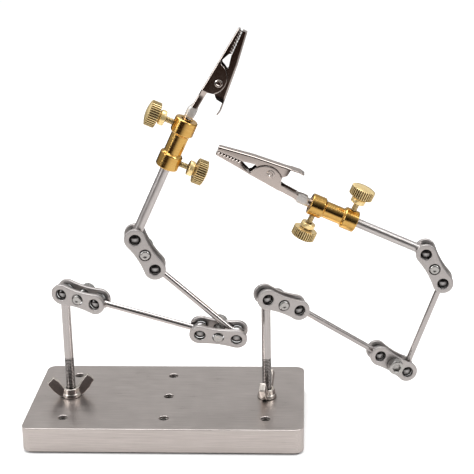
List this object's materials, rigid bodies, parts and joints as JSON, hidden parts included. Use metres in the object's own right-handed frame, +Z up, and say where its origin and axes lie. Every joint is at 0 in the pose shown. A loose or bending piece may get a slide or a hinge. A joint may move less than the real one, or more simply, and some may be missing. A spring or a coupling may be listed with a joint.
{
  "type": "helping hands clamp",
  "caption": "Bench helping hands: ball-jointed rod arms on a heavy drilled steel base, each ending in an alligator clip held in a brass coupling.",
  "frame": {"origin": "centre of the rubber pad's underside", "axes": "+X to the right along the base, +Y to the back, +Z up out of the base"},
  "size_m": [0.2158, 0.0762, 0.2072],
  "materials": {
    "base_steel": "brushed, satin",
    "pad_rubber": "matt",
    "ball_steel": "polished",
    "clamp_steel": "satin, tumbled edges",
    "screw_steel": "satin",
    "rod_steel": "ground and polished",
    "nut_steel": "cast, bright plated",
    "brass": "turned, polished",
    "clip_nickel": "nickel plated"
  },
  "bodies": {
    "base": {"base_plate": "base_steel", "base_pad": "pad_rubber"},
    "left_post": {"left_post": "rod_steel"},
    "left_wing_nut": {"left_wing_nut": "nut_steel"},
    "left_post_ball": {"left_post_ball": "ball_steel"},
    "left_clamp_1": {"left_clamp_1_front_plate": "clamp_steel", "left_clamp_1_back_plate": "clamp_steel"},
    "left_clamp_1_screw": {"left_clamp_1_screw": "screw_steel"},
    "left_clamp_2": {"left_clamp_2_front_plate": "clamp_steel", "left_clamp_2_back_plate": "clamp_steel"},
    "left_clamp_2_screw": {"left_clamp_2_screw": "screw_steel"},
    "left_clamp_3": {"left_clamp_3_front_plate": "clamp_steel", "left_clamp_3_back_plate": "clamp_steel"},
    "left_clamp_3_screw": {"left_clamp_3_screw": "screw_steel"},
    "left_rod_1_near_ball": {"left_rod_1_near_ball": "ball_steel"},
    "left_link_rod_1": {"left_link_rod_1": "rod_steel"},
    "left_rod_1_far_ball": {"left_rod_1_far_ball": "ball_steel"},
    "left_rod_2_near_ball": {"left_rod_2_near_ball": "ball_steel"},
    "left_link_rod_2": {"left_link_rod_2": "rod_steel"},
    "left_rod_2_far_ball": {"left_rod_2_far_ball": "ball_steel"},
    "left_end_rod_ball": {"left_end_rod_ball": "ball_steel"},
    "left_end_rod": {"left_end_rod": "rod_steel"},
    "left_coupling": {"left_coupling": "brass"},
    "left_rod_thumb_screw": {"left_rod_thumb_screw": "brass"},
    "left_clip_thumb_screw": {"left_clip_thumb_screw": "brass"},
    "left_clip": {"left_fixed_jaw": "clip_nickel", "left_jaw_rivet": "clip_nickel", "left_jaw_spring": "clip_nickel"},
    "left_moving_jaw": {"left_moving_jaw": "clip_nickel"},
    "right_post": {"right_post": "rod_steel"},
    "right_wing_nut": {"right_wing_nut": "nut_steel"},
    "right_post_ball": {"right_post_ball": "ball_steel"},
    "right_clamp_1": {"right_clamp_1_front_plate": "clamp_steel", "right_clamp_1_back_plate": "clamp_steel"},
    "right_clamp_1_screw": {"right_clamp_1_screw": "screw_steel"},
    "right_clamp_2": {"right_clamp_2_front_plate": "clamp_steel", "right_clamp_2_back_plate": "clamp_steel"},
    "right_clamp_2_screw": {"right_clamp_2_screw": "screw_steel"},
    "right_clamp_3": {"right_clamp_3_front_plate": "clamp_steel", "right_clamp_3_back_plate": "clamp_steel"},
    "right_clamp_3_screw": {"right_clamp_3_screw": "screw_steel"},
    "right_rod_1_near_ball": {"right_rod_1_near_ball": "ball_steel"},
    "right_link_rod_1": {"right_link_rod_1": "rod_steel"},
    "right_rod_1_far_ball": {"right_rod_1_far_ball": "ball_steel"},
    "right_rod_2_near_ball": {"right_rod_2_near_ball": "ball_steel"},
    "right_link_rod_2": {"right_link_rod_2": "rod_steel"},
    "right_rod_2_far_ball": {"right_rod_2_far_ball": "ball_steel"},
    "right_end_rod_ball": {"right_end_rod_ball": "ball_steel"},
    "right_end_rod": {"right_end_rod": "rod_steel"},
    "right_coupling": {"right_coupling": "brass"},
    "right_rod_thumb_screw": {"right_rod_thumb_screw": "brass"},
    "right_clip_thumb_screw": {"right_clip_thumb_screw": "brass"},
    "right_clip": {"right_fixed_jaw": "clip_nickel", "right_jaw_rivet": "clip_nickel", "right_jaw_spring": "clip_nickel"},
    "right_moving_jaw": {"right_moving_jaw": "clip_nickel"}
  },
  "joints": [
    {"name": "left_post_turn", "type": "hinge", "parent": "base", "child": "left_post", "pos_m": [-0.0508, 0, 0.0137], "axis": [0, 0, 1], "range_deg": [-180, 180]},
    {"name": "left_clamp_1_swing", "type": "hinge", "parent": "left_post_ball", "child": "left_clamp_1", "pos_m": [-0.0508, 0, 0.0715], "axis": [-0.2672, -0.9634, -0.0227], "range_deg": [-21, 147]},
    {"name": "left_rod_1_swing", "type": "hinge", "parent": "left_clamp_1", "child": "left_rod_1_near_ball", "pos_m": [-0.03352, -0.00471, 0.06802], "axis": [0.2672, 0.9634, 0.0227], "range_deg": [-141, 28]},
    {"name": "left_clamp_2_swing", "type": "hinge", "parent": "left_rod_1_far_ball", "child": "left_clamp_2", "pos_m": [0.01858, -0.01244, 0.0561], "axis": [0.007, 0.9625, 0.2712], "range_deg": [-35, 73]},
    {"name": "left_rod_2_swing", "type": "hinge", "parent": "left_clamp_2", "child": "left_rod_2_near_ball", "pos_m": [0.03665, -0.01185, 0.05356], "axis": [-0.007, -0.9625, -0.2712], "range_deg": [-109, 7]},
    {"name": "left_clamp_3_swing", "type": "hinge", "parent": "left_rod_2_far_ball", "child": "left_clamp_3", "pos_m": [-0.00243, -0.01567, 0.09064], "axis": [0.1105, -0.992, -0.0617], "range_deg": [-77, 153]},
    {"name": "left_end_rod_swing", "type": "hinge", "parent": "left_clamp_3", "child": "left_end_rod_ball", "pos_m": [-0.01131, -0.01764, 0.10646], "axis": [-0.1105, 0.992, 0.0617], "range_deg": [-172, 85]},
    {"name": "left_coupling_turn", "type": "hinge", "parent": "left_end_rod", "child": "left_coupling", "pos_m": [0.00516, -0.01854, 0.14158], "axis": [0.4244, -0.0231, 0.9052], "continuous": true},
    {"name": "left_clip_turn", "type": "hinge", "parent": "left_coupling", "child": "left_clip", "pos_m": [0.01594, -0.01912, 0.16457], "axis": [0.4244, -0.0231, 0.9052], "continuous": true},
    {"name": "left_jaw_open", "type": "hinge", "parent": "left_clip", "child": "left_moving_jaw", "pos_m": [0.03149, -0.01996, 0.18216], "axis": [0.0532, 0.9986, 0.0006], "range_deg": [0, 30], "stiffness_Nm_per_rad": 0.1, "springref_deg": -40, "deforming": ["left_jaw_spring"]},
    {"name": "right_post_turn", "type": "hinge", "parent": "base", "child": "right_post", "pos_m": [0.0508, 0, 0.0137], "axis": [0, 0, 1], "range_deg": [-125, 54]},
    {"name": "right_clamp_1_swing", "type": "hinge", "parent": "right_post_ball", "child": "right_clamp_1", "pos_m": [0.0508, 0, 0.0689], "axis": [0.2922, -0.9557, -0.0349], "range_deg": [-9, 69]},
    {"name": "right_rod_1_swing", "type": "hinge", "parent": "right_clamp_1", "child": "right_rod_1_near_ball", "pos_m": [0.06654, 0.00509, 0.06119], "axis": [-0.2922, 0.9557, 0.0349], "range_deg": [-94, 13]},
    {"name": "right_clamp_2_swing", "type": "hinge", "parent": "right_rod_1_far_ball", "child": "right_clamp_2", "pos_m": [0.10852, 0.01906, 0.03024], "axis": [-0.2315, 0.9723, 0.0334], "range_deg": [-36, 78]},
    {"name": "right_rod_2_swing", "type": "hinge", "parent": "right_clamp_2", "child": "right_rod_2_near_ball", "pos_m": [0.12295, 0.02286, 0.01973], "axis": [0.2315, -0.9723, -0.0334], "range_deg": [-84, 28]},
    {"name": "right_clamp_3_swing", "type": "hinge", "parent": "right_rod_2_far_ball", "child": "right_clamp_3", "pos_m": [0.14061, 0.01903, 0.07062], "axis": [0.0115, 0.9985, 0.0526], "range_deg": [-54, 176]},
    {"name": "right_end_rod_swing", "type": "hinge", "parent": "right_clamp_3", "child": "right_end_rod_ball", "pos_m": [0.13165, 0.01829, 0.0865], "axis": [-0.0115, -0.9985, -0.0526], "range_deg": [-180, 54]},
    {"name": "right_coupling_turn", "type": "hinge", "parent": "right_end_rod", "child": "right_coupling", "pos_m": [0.09624, 0.01753, 0.10233], "axis": [-0.9128, -0.0197, 0.4079], "continuous": true},
    {"name": "right_clip_turn", "type": "hinge", "parent": "right_coupling", "child": "right_clip", "pos_m": [0.07305, 0.01703, 0.11269], "axis": [-0.9128, -0.0197, 0.4079], "continuous": true},
    {"name": "right_jaw_open", "type": "hinge", "parent": "right_clip", "child": "right_moving_jaw", "pos_m": [0.05363, 0.01617, 0.12924], "axis": [0.0036, 0.9984, 0.0562], "range_deg": [0, 30], "stiffness_Nm_per_rad": 0.1, "springref_deg": -40, "deforming": ["right_jaw_spring"]},
    {"name": "left_rod_1_twist", "type": "hinge", "parent": "left_link_rod_1", "child": "left_rod_1_far_ball", "pos_m": [0.01858, -0.01244, 0.0561], "axis": [-0.9648, 0.143, 0.2208], "range_deg": [-108, 16]},
    {"name": "left_rod_2_twist", "type": "hinge", "parent": "left_link_rod_2", "child": "left_rod_2_far_ball", "pos_m": [-0.00243, -0.01567, 0.09064], "axis": [-0.7235, -0.0706, 0.6867], "range_deg": [-180, 141]},
    {"name": "left_post_tilt", "type": "hinge", "parent": "left_post", "child": "left_post_ball", "pos_m": [-0.0508, 0, 0.0715], "axis": [0.9636, -0.2672, 0], "range_deg": [-3.7, 1.1]},
    {"name": "left_rod_1_tilt", "type": "hinge", "parent": "left_rod_1_near_ball", "child": "left_link_rod_1", "pos_m": [-0.03352, -0.00471, 0.06802], "axis": [-0.2109, 0.0814, -0.9741], "range_deg": [-0.4, 13.6]},
    {"name": "left_rod_2_tilt", "type": "hinge", "parent": "left_rod_2_near_ball", "child": "left_link_rod_2", "pos_m": [0.03665, -0.01185, 0.05356], "axis": [-0.6844, 0.2023, -0.7004], "range_deg": [-13.5, 0.5]},
    {"name": "left_end_rod_tilt", "type": "hinge", "parent": "left_end_rod_ball", "child": "left_end_rod", "pos_m": [-0.01131, -0.01764, 0.10646], "axis": [0.8994, 0.1263, -0.4185], "range_deg": [-3.2, 1.6]},
    {"name": "right_rod_1_twist", "type": "hinge", "parent": "right_link_rod_1", "child": "right_rod_1_far_ball", "pos_m": [0.10852, 0.01906, 0.03024], "axis": [0.7775, 0.2586, -0.5732], "range_deg": [-128, 108]},
    {"name": "right_rod_2_twist", "type": "hinge", "parent": "right_link_rod_2", "child": "right_rod_2_far_ball", "pos_m": [0.14061, 0.01903, 0.07062], "axis": [0.327, -0.0709, 0.9424], "range_deg": [-180, 180]},
    {"name": "right_post_tilt", "type": "hinge", "parent": "right_post", "child": "right_post_ball", "pos_m": [0.0508, 0, 0.0689], "axis": [-0.9563, -0.2924, 0], "range_deg": [-0.4, 4.4]},
    {"name": "right_rod_1_tilt", "type": "hinge", "parent": "right_rod_1_near_ball", "child": "right_link_rod_1", "pos_m": [0.06654, 0.00509, 0.06119], "axis": [0.5569, 0.1404, 0.8187], "range_deg": [-7, 7]},
    {"name": "right_rod_2_tilt", "type": "hinge", "parent": "right_rod_2_near_ball", "child": "right_link_rod_2", "pos_m": [0.12295, 0.02286, 0.01973], "axis": [-0.9245, -0.2306, 0.3035], "range_deg": [-0.5, 13.5]},
    {"name": "right_end_rod_tilt", "type": "hinge", "parent": "right_end_rod_ball", "child": "right_end_rod", "pos_m": [0.13165, 0.01829, 0.0865], "axis": [-0.4083, 0.0527, -0.9113], "range_deg": [-1.9, 2.9]},
    {"name": "left_wing_nut_turn", "type": "hinge", "parent": "left_post", "child": "left_wing_nut", "pos_m": [-0.0508, 0, 0.0137], "axis": [0, 0, 1], "continuous": true},
    {"name": "left_clamp_1_screw_turn", "type": "hinge", "parent": "left_clamp_1", "child": "left_clamp_1_screw", "pos_m": [-0.04216, -0.00236, 0.06976], "axis": [0.2672, 0.9634, 0.0227], "range_deg": [0, 360]},
    {"name": "left_clamp_2_screw_turn", "type": "hinge", "parent": "left_clamp_2", "child": "left_clamp_2_screw", "pos_m": [0.02761, -0.01214, 0.05483], "axis": [0.007, 0.9625, 0.2712], "range_deg": [0, 360]},
    {"name": "left_clamp_3_screw_turn", "type": "hinge", "parent": "left_clamp_3", "child": "left_clamp_3_screw", "pos_m": [-0.00687, -0.01665, 0.09855], "axis": [-0.1105, 0.992, 0.0617], "range_deg": [0, 360]},
    {"name": "left_rod_thumb_screw_turn", "type": "hinge", "parent": "left_coupling", "child": "left_rod_thumb_screw", "pos_m": [0.00677, -0.01862, 0.14502], "axis": [0.8994, 0.1263, -0.4185], "range_deg": [0, 360]},
    {"name": "left_clip_thumb_screw_turn", "type": "hinge", "parent": "left_coupling", "child": "left_clip_thumb_screw", "pos_m": [0.01433, -0.01904, 0.16113], "axis": [-0.8994, -0.1263, 0.4185], "range_deg": [0, 360]},
    {"name": "right_wing_nut_turn", "type": "hinge", "parent": "right_post", "child": "right_wing_nut", "pos_m": [0.0508, 0, 0.0137], "axis": [0, 0, 1], "continuous": true},
    {"name": "right_clamp_1_screw_turn", "type": "hinge", "parent": "right_clamp_1", "child": "right_clamp_1_screw", "pos_m": [0.05867, 0.00255, 0.06505], "axis": [-0.2922, 0.9557, 0.0349], "range_deg": [0, 360]},
    {"name": "right_clamp_2_screw_turn", "type": "hinge", "parent": "right_clamp_2", "child": "right_clamp_2_screw", "pos_m": [0.11574, 0.02096, 0.02498], "axis": [0.2315, -0.9723, -0.0334], "range_deg": [0, 360]},
    {"name": "right_clamp_3_screw_turn", "type": "hinge", "parent": "right_clamp_3", "child": "right_clamp_3_screw", "pos_m": [0.13613, 0.01866, 0.07856], "axis": [0.0115, 0.9985, 0.0526], "range_deg": [0, 360]},
    {"name": "right_rod_thumb_screw_turn", "type": "hinge", "parent": "right_coupling", "child": "right_rod_thumb_screw", "pos_m": [0.09277, 0.01746, 0.10388], "axis": [0.4083, -0.0527, 0.9113], "range_deg": [0, 360]},
    {"name": "right_clip_thumb_screw_turn", "type": "hinge", "parent": "right_coupling", "child": "right_clip_thumb_screw", "pos_m": [0.07652, 0.0171, 0.11114], "axis": [-0.4083, 0.0527, -0.9113], "range_deg": [0, 360]}
  ]
}
